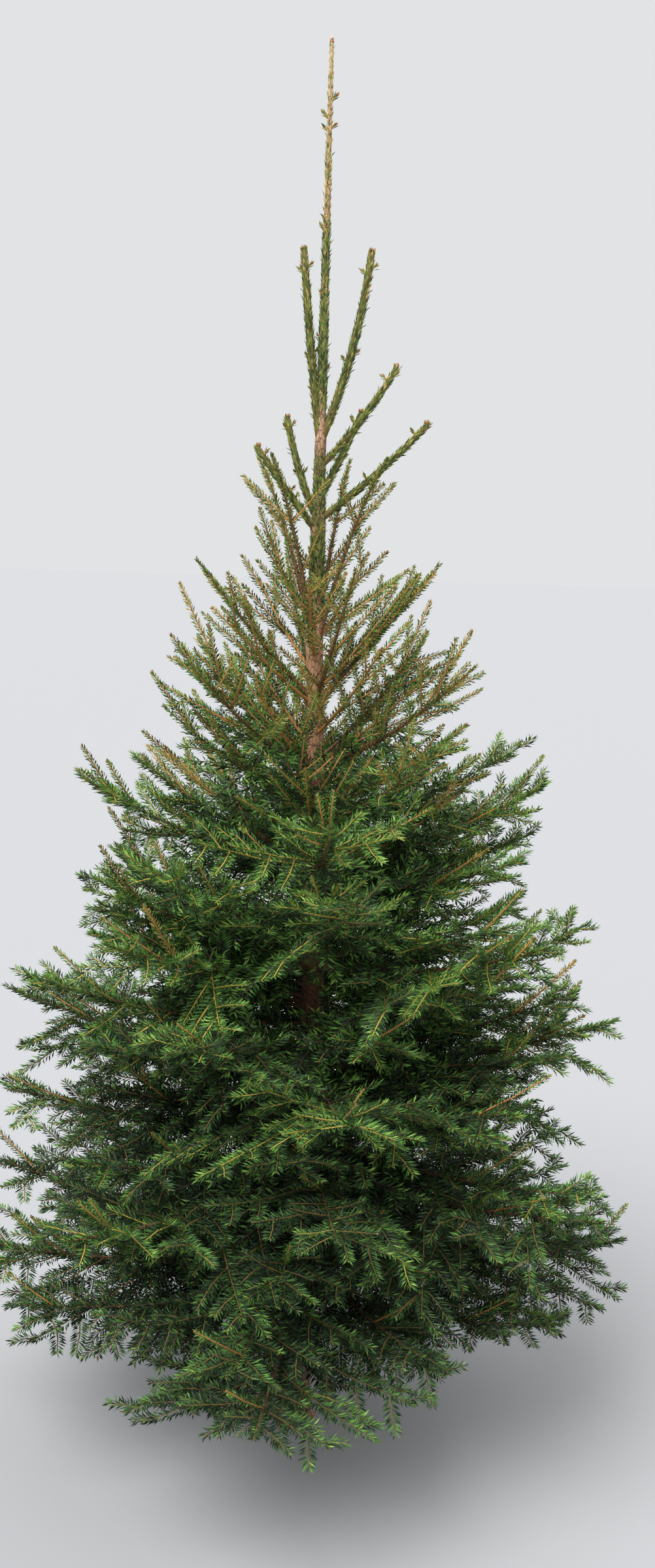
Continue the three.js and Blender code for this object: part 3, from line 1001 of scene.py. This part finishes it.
def grow_leader():
    """The needles and buds on the trunk's upper part"""
    for low, high, density, tone in LEADER_NEEDLES:
        radii = trunk_radius(low), trunk_radius(high)
        line = straight_line(UP * low, UP * high)
        add(line, *radii, "pressed", tone, density=density, olive=True, bark="")
    for height, turn, size in LEADER_BUDS:
        grow_side_bud(trunk_centre(height), trunk_radius(height), turn, size)
    grow_tip_buds(trunk_centre(TREE_HEIGHT - 0.014), TIP_RADIUS, LEADER_TIP_BUD)


def grow_crown():
    for whorl in range(len(WHORLS)):
        begin(f"whorl_{whorl + 1}")
        for index in range(BOUGHS_IN_WHORL):
            grow_bough(whorl, index)
    grow_small_boughs()
    begin("top")
    grow_rising_limbs()
    grow_trunk_rods()
    for number, shoot in enumerate(TOP_SHOOTS.values()):
        grow_top_shoot(number, *shoot)
    grow_leader()


# Meshes


def make_piece(name, points, faces, materials, shades=None, smooth=False):
    """A mesh of triangles that rides on the tree's one body"""
    mesh = bpy.data.meshes.new(name)
    mesh.vertices.add(len(points))
    mesh.vertices.foreach_set("co", points.astype(np.float32).ravel())
    mesh.loops.add(3 * len(faces))
    mesh.loops.foreach_set("vertex_index", faces.astype(np.int32).ravel())
    mesh.polygons.add(len(faces))
    mesh.polygons.foreach_set("loop_start", np.arange(0, 3 * len(faces), 3, dtype=np.int32))
    if shades is not None:
        mesh.polygons.foreach_set("material_index", shades.astype(np.int32))
    mesh.polygons.foreach_set("use_smooth", np.full(len(faces), smooth))
    mesh.update(calc_edges=True)
    for material in materials:
        mesh.materials.append(material)
    piece = bpy.data.objects.new(name, mesh)
    bpy.context.scene.collection.objects.link(piece)
    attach(piece, "root")
    return piece


def units(vectors):
    return vectors / np.linalg.norm(vectors, axis=1, keepdims=True)


def columns(items, rows, *names):
    """The named values of some shoots or kinds of needles, one for each row"""
    return [np.array([getattr(item, name) for item in items])[rows] for name in names]


def corners_of(shoots):
    return np.array([shoot.curve.corners for shoot in shoots])


def frames_along(corners, time):
    """Points, tangents and two square directions on many curves, one row each"""
    start, middle, end = corners[:, 0], corners[:, 1], corners[:, 2]
    time = time[:, None]
    points = on_curve(start, middle, end, time)
    tangents = units((1 - time) * (middle - start) + time * (end - middle))
    steep = np.abs(units(end - start)[:, 2:]) > 0.95
    across = units(np.cross(np.where(steep, (0.0, -1.0, 0.0), UP), tangents))
    return points, tangents, across, np.cross(tangents, across)


def make_needles(name, shoots, random, materials):
    """Folded needles of two faces each on every shoot"""
    shoots = [shoot for shoot in shoots if shoot.needles]
    kinds = [NEEDLE_KINDS[shoot.needles] for shoot in shoots]
    counts = [
        int(kind.per_metre * shoot.density * shoot.curve.length * (1 - shoot.clothed_from))
        for kind, shoot in zip(kinds, shoots)
    ]
    rows = np.repeat(np.arange(len(shoots)), counts)
    numbers = np.concatenate([np.arange(count) for count in counts])
    places = (numbers + 0.5) / np.array(counts)[rows]
    count = len(rows)
    length, width, spread, lean = columns(kinds, rows, "length", "width", "spread", "lean")
    rise, roll = columns(kinds, rows, "rise", "roll")
    radius, tip_radius, foot = columns(shoots, rows, "radius", "tip_radius", "clothed_from")
    share = part_way(foot, 1, places) + random.uniform(-PLACE_SPREAD, PLACE_SPREAD, count)
    share = np.clip(share, 0, 1)
    points, tangents, across, normals = frames_along(corners_of(shoots)[rows], share)

    # The way out of the shoot, which is pushed to both sides of a flat one
    flat = spread < 180
    spiral = (numbers * NEEDLE_TURN + random.uniform(-TURN_SPREAD, TURN_SPREAD, count)) % 360 / 180 - 1
    pushed = np.sign(spiral) * np.abs(spiral) ** np.where(flat, 0.4, 1)
    turn = np.radians(pushed * spread)[:, None]
    radial = normals * np.cos(turn) + across * np.sin(turn)

    # The way along the needle
    lean = part_way(lean[:, 0], lean[:, 1], share**1.5)
    lean *= np.where(flat, part_way(UPPER_LEAN, 1, np.abs(pushed)), 1)
    lean *= np.where(share > 0.95, LAST_LEAN, 1)
    lean += np.where(random.uniform(0, 1, count) < STRAY_SHARE, STRAY_LEAN, 0)
    lean = np.radians(lean + random.normal(0, LEAN_SPREAD, count))[:, None]
    ways = units(tangents * np.cos(lean) + radial * np.sin(lean) + UP * rise[:, None])

    # The blade itself
    length *= part_way(END_LENGTH, 1, np.sin(np.pi * places**0.8)) * random.uniform(*NEEDLE_LENGTHS, count)
    width *= random.uniform(*NEEDLE_WIDTHS, count)
    base = points + radial * (part_way(radius, tip_radius, share) - NEEDLE_SUNK)[:, None]
    square = units(np.cross(ways, radial))
    roll = np.radians(roll[:, 0] + roll[:, 1] * random.uniform(-1, 1, count))[:, None]
    flank = square * np.cos(roll) + np.cross(ways, square) * np.sin(roll)
    reach = ways * length[:, None]
    middle = base + reach * 0.5 - np.cross(flank, ways) * (width * NEEDLE_FOLD)[:, None]
    half = flank * (width / 2)[:, None]
    vertices = np.stack([base, middle - half, middle + half, base + reach], axis=1)

    first = np.arange(count)[:, None] * 4
    faces = np.concatenate([first + (0, 1, 3), first + (0, 3, 2)], axis=1).reshape(-1, 3)
    # painted light: needles on a flat shoot's upper side are lighter, and those under it darker
    upper = np.where(flat, 1 - 2 * np.abs(spiral), 0)
    shades = np.repeat(needle_shades(shoots, rows, places, upper, random), 2)
    return make_piece(name, vertices.reshape(-1, 3), faces, materials, shades)


def needle_shades(shoots, rows, places, upper, random):
    """Each needle's colour, by its shoot's tone, fresher at the shoot's tip, and lighter on a flat shoot's
    upper side as painted light
    """
    tones, olive = columns(shoots, rows, "tone", "olive")
    stout = np.array([shoot.needles in ("rod", "pressed") for shoot in shoots])[rows]
    fresh = np.where(places > FRESH_FROM, FRESH_STEPS, 0)
    by_chance = random.uniform(*GREEN_CHANCE, len(rows)) * np.where(stout, 1.2, 1)
    greens = np.round(tones * GREEN_STEPS + fresh + PAINTED_TOP_LIGHT_STEPS * upper + by_chance)
    olives = np.round(tones * OLIVE_STEPS + random.uniform(*OLIVE_CHANCE, len(rows)) + 0.5 * fresh)
    return np.where(
        olive, len(GREENS) + np.clip(olives, 0, len(OLIVES) - 1), np.clip(greens, 0, len(GREENS) - 1)
    )


def tube_faces(rings, sides):
    faces = []
    for ring in range(rings - 1):
        for side in range(sides):
            a, b = ring * sides + side, ring * sides + (side + 1) % sides
            faces += [(a, b, b + sides), (a, b + sides, a + sides)]
    return faces


def end_faces(first, sides, tip):
    """The faces from a tube's last ring of points to its tip"""
    return [(first + side, first + (side + 1) % sides, tip) for side in range(sides)]


def turned_over(faces):
    return [(b, a, end) for a, b, end in faces]


def make_twigs(name, shoots, materials):
    """Slim round stems with pointed ends. Stout ones have more sides."""
    shoots = [shoot for shoot in shoots if shoot.bark]
    slim = [shoot for shoot in shoots if shoot.radius < STOUT_STEM]
    stout = [shoot for shoot in shoots if shoot.radius >= STOUT_STEM]
    points, faces, shades = stem_mesh(slim, *STEM_STEPS)
    if stout:
        more_points, more_faces, more_shades = stem_mesh(stout, *STOUT_STEPS)
        faces = np.concatenate([faces, more_faces + len(points)])
        points = np.concatenate([points, more_points])
        shades = np.concatenate([shades, more_shades])
    return make_piece(name, points, faces, materials, shades, smooth=True)


def stem_mesh(shoots, steps, sides):
    """The points, faces and bark shades of the stems of some shoots"""
    corners = corners_of(shoots)
    rows = np.arange(len(shoots))
    radius, tip_radius = columns(shoots, rows, "radius", "tip_radius")
    points = []
    for share in np.linspace(0, 1, steps + 1):
        centres, tangents, across, normals = frames_along(corners, np.full(len(shoots), share))
        size = part_way(radius, tip_radius, share)[:, None]
        for side in range(sides):
            points.append(centres + leaning(across, normals, 360 * side / sides) * size)
    points.append(centres + tangents * STEM_POINT)
    vertices = np.stack(points, axis=1)
    pattern = np.array(tube_faces(steps + 1, sides) + end_faces(steps * sides, sides, len(points) - 1))
    faces = (rows[:, None, None] * len(points) + pattern).reshape(-1, 3)
    barks = list(TWIG_BARKS)
    shades = np.repeat([barks.index(shoot.bark) for shoot in shoots], len(pattern))
    return vertices.reshape(-1, 3), faces, shades


def make_buds(name, shoots, materials):
    """A pointed bud at the tip of each shoot that has one"""
    shoots = [shoot for shoot in shoots if shoot.bud]
    size = np.array([shoot.bud for shoot in shoots])[:, None]
    ends, tangents, across, normals = frames_along(corners_of(shoots), np.ones(len(shoots)))
    waist = ends + tangents * size * 0.6
    ring = [waist + way * size * 0.5 for way in (across, normals, -across, -normals)]
    vertices = np.stack([*ring, ends - tangents * size * 0.3, ends + tangents * size * 1.6], axis=1)
    foot, tip = 4, 5
    pattern = np.array(end_faces(0, 4, tip) + turned_over(end_faces(0, 4, foot)))
    faces = (np.arange(len(shoots))[:, None, None] * 6 + pattern).reshape(-1, 3)
    return make_piece(name, vertices.reshape(-1, 3), faces, materials)


# Bark with relief


def plate_height(point, size):
    """0 in the cracks between plates of bark and 1 on the plates"""
    distances, _ = noise.voronoi(Vector(point) / size)
    return min(1.0, 2.6 * (distances[1] - distances[0]))


def make_trunk(materials):
    """The trunk, with plates of bark, collars under the whorls and the flare at its foot"""
    rings = int(TREE_HEIGHT / TRUNK_STEP) + 1
    collars = [ring.foot for ring in WHORLS] + [shoot[0] for shoot in TOP_SHOOTS.values()]
    points = []
    for ring in range(rings):
        height = TREE_HEIGHT * ring / (rings - 1)
        centre = trunk_centre(height)
        flare = math.exp(-height / FLARE_HEIGHT)
        collar = sum(math.exp(-(((height - place) / COLLAR_HEIGHT) ** 2)) for place in collars)
        base = trunk_radius(height) + FLARE_RADIUS * flare + min(collar, 1.0) * COLLAR_RADIUS
        coarse = max(0.0, 1 - height / COARSE_TO)
        for angle in np.arange(TRUNK_SIDES) * 360 / TRUNK_SIDES:
            way = heading(angle, 0)
            lobe = 1 + FLARE_DEPTH * flare * math.cos(math.radians(FLARE_LOBES * angle))
            place = centre + way * base
            plates = plate_height(place * (1, 1, 0.5), part_way(*PLATES, coarse))
            lumps = LUMPS[1] * noise.noise(Vector(place) * LUMPS[0]) * (base / 0.03)
            relief = part_way(*PLATE_RELIEF, coarse) * (plates - 0.6) + lumps
            points.append(centre + way * (base * lobe + relief))
    foot, tip = len(points), len(points) + 1
    points += [trunk_centre(0), trunk_centre(TREE_HEIGHT)]
    faces = tube_faces(rings, TRUNK_SIDES) + turned_over(end_faces(0, TRUNK_SIDES, foot))
    faces += end_faces((rings - 1) * TRUNK_SIDES, TRUNK_SIDES, tip)
    piece = make_piece("trunk_bark", np.array(points), np.array(faces), materials, smooth=True)
    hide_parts("trunk")


def make_boughs(materials):
    """The boughs' limbs, with rough bark and a collar at the trunk"""
    sides = BOUGH_SIDES
    all_points, all_faces = [], []
    for line, radius, tip_share in limbs:
        steps = int(line.length / BOUGH_STEP)
        shares = np.linspace(0, 1, steps + 1)
        corners = np.repeat(line.corners[None], steps + 1, axis=0)
        points, tangents, across, normals = frames_along(corners, shares)
        start = len(all_points)
        for share, point, left, high in zip(shares, points, across, normals):
            size = radius * part_way(1, tip_share, share**0.75)
            size *= 1 + BOUGH_COLLAR[0] * math.exp(-share * line.length / BOUGH_COLLAR[1])
            for side in range(sides):
                out = leaning(left, high, 360 * side / sides) * size
                rough = noise.noise(Vector(point + out) * BOUGH_LUMPS[0])
                all_points.append(point + out * (1 + BOUGH_LUMPS[1] * rough))
        all_points.append(points[-1] + tangents[-1] * 0.001)
        faces = tube_faces(steps + 1, sides) + end_faces(steps * sides, sides, (steps + 1) * sides)
        all_faces.append(np.array(faces) + start)
    return make_piece("boughs", np.array(all_points), np.concatenate(all_faces), materials, smooth=True)


# Materials


def new_material(name, roughness):
    """A new material and its shader's inputs"""
    material = bpy.data.materials.new(name)
    material.use_nodes = True
    inputs = material.node_tree.nodes["Principled BSDF"].inputs
    inputs["Roughness"].default_value = roughness
    return material, inputs


def plain_material(name, colour, roughness, specular=0.5):
    material, inputs = new_material(name, roughness)
    inputs["Base Color"].default_value = linear(colour)
    inputs["Specular IOR Level"].default_value = specular
    material.diffuse_color = linear(colour)
    return material


def add_node(material, kind, inputs, **settings):
    """A new node. Each of its inputs is a plain value or another node's output."""
    node = material.node_tree.nodes.new(kind)
    for name, value in settings.items():
        setattr(node, name, value)
    for name, value in inputs.items():
        if isinstance(value, bpy.types.NodeSocket):
            material.node_tree.links.new(value, node.inputs[name])
        else:
            node.inputs[name].default_value = value
    return node


def colour_by_height(material, place, colours):
    """A colour that changes with height"""
    split = add_node(material, "ShaderNodeSeparateXYZ", {0: place})
    inputs = {0: split.outputs["Z"], 1: TREE_HEIGHT}
    share = add_node(material, "ShaderNodeMath", inputs, operation="DIVIDE").outputs[0]
    by_height = add_node(material, "ShaderNodeValToRGB", {0: share})
    stops = by_height.color_ramp.elements
    for number, (at, colour) in enumerate(colours):
        stop = stops[number] if number < 2 else stops.new(1.0)
        stop.position = at / TREE_HEIGHT
        stop.color = linear(colour)
    return by_height.outputs[0]


def mixed(material, colour, other, value, low, high):
    """A colour that gives way to another as a value goes from low to high"""
    inputs = {"Value": value, "From Min": low, "From Max": high}
    share = add_node(material, "ShaderNodeMapRange", inputs).outputs[0]
    inputs = {"Factor": share, "A": colour, "B": linear(other)}
    return add_node(material, "ShaderNodeMix", inputs, data_type="RGBA").outputs["Result"]


def bark_material(name, colours, patch, crack, scale, bump):
    """Bark whose colour changes with height, with pale patches and dark cracks"""
    material, shader = new_material(name, 0.88)
    place = add_node(material, "ShaderNodeTexCoord", {}).outputs["Object"]
    stretched = add_node(material, "ShaderNodeMapping", {"Vector": place, "Scale": (1, 1, 0.45)}).outputs[0]
    inputs = {"Vector": stretched, "Scale": scale * 0.5, "Detail": 6}
    patches = add_node(material, "ShaderNodeTexNoise", inputs).outputs[0]
    inputs = {"Vector": stretched, "Scale": scale}
    cracks = add_node(material, "ShaderNodeTexVoronoi", inputs, feature="DISTANCE_TO_EDGE").outputs[0]
    colour = colour_by_height(material, place, colours)
    colour = mixed(material, colour, patch, patches, 0.5, 0.68)
    colour = mixed(material, colour, crack, cracks, 0.10, 0.0)
    inputs = {"Strength": bump, "Distance": 0.001, "Height": patches}
    relief = add_node(material, "ShaderNodeBump", inputs).outputs[0]
    material.node_tree.links.new(colour, shader["Base Color"])
    material.node_tree.links.new(relief, shader["Normal"])
    return material


def needle_materials():
    """Waxy needles with a faint sheen"""
    return [plain_material(name, colour, 0.5, 0.25) for name, colour in GREENS + OLIVES]


def twig_materials():
    return [plain_material(name, colour, 0.8) for name, colour in TWIG_BARKS.items()]


# The pieces


def make_foliage():
    needle_finishes = needle_materials()
    twig_finishes = twig_materials()
    bud_finish = [plain_material("buds", BUD_COLOUR, 0.6)]
    nodes = {f"whorl_{whorl}": [f"foliage_{whorl}{letter}" for letter in "abcd"] for whorl in range(1, 9)}
    nodes["top"] = list(TOP_SHOOTS)
    random = np.random.default_rng(SEED)
    for group, shoots in groups:
        needles = make_needles(f"needles_{group}", shoots, random, needle_finishes)
        twigs = make_twigs(f"twigs_{group}", shoots, twig_finishes)
        buds = make_buds(f"buds_{group}", shoots, bud_finish)
        if group in nodes:
            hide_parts(*nodes[group])


def make_bark():
    make_trunk([bark_material("trunk_bark", TRUNK_COLOURS, (182, 138, 102), (70, 46, 34), 170, 0.5)])
    bough_bark = bark_material("bough_bark", BOUGH_COLOURS, (150, 112, 78), (52, 36, 26), 190, 0.4)
    boughs = make_boughs([bough_bark])
    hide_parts(*(f"bough_{ring}{letter}" for ring in range(1, 6) for letter in "abcd"))


# The studio


def make_floor():
    half = FLOOR_SIZE / 2
    corners = [(-half, -half, 0), (half, -half, 0), (half, half, 0), (-half, half, 0)]
    mesh = bpy.data.meshes.new("floor")
    mesh.from_pydata(corners, [], [(0, 1, 2, 3)])
    mesh.materials.append(plain_material("pale_floor", FLOOR_COLOUR, 1.0))
    floor = bpy.data.objects.new("floor", mesh)
    bpy.context.scene.collection.objects.link(floor)


def make_light(name, place, softness, energy):
    """A soft light from one side, as even as a large studio panel; softness is its width in degrees"""
    light = bpy.data.lights.new(name, "SUN")
    light.angle = math.radians(softness)
    light.energy = energy
    lamp = bpy.data.objects.new(name, light)
    lamp.location = place
    lamp.rotation_euler = (-Vector(place)).to_track_quat("-Z", "Y").to_euler()
    bpy.context.scene.collection.objects.link(lamp)


def make_studio():
    make_floor()
    for name, light in LIGHTS.items():
        make_light(name, *light)
    world = bpy.data.worlds.new("pale_world")
    world.use_nodes = True
    background = world.node_tree.nodes["Background"]
    background.inputs["Color"].default_value = linear(WORLD_COLOUR)
    background.inputs["Strength"].default_value = WORLD_STRENGTH
    bpy.context.scene.world = world
    bpy.context.scene.view_settings.view_transform = "Standard"


def make_camera():
    data = bpy.data.cameras.new("camera")
    data.lens = CAMERA_LENS
    camera = bpy.data.objects.new("camera", data)
    tilt = Matrix.Rotation(math.radians(90 - CAMERA_TILT), 4, "X")
    roll = Matrix.Rotation(math.radians(CAMERA_ROLL), 4, "Z")
    camera.matrix_world = Matrix.Translation(CAMERA_PLACE) @ tilt @ roll
    bpy.context.scene.collection.objects.link(camera)
    bpy.context.scene.camera = camera


make_camera()
make_studio()
grow_crown()
make_foliage()
make_bark()
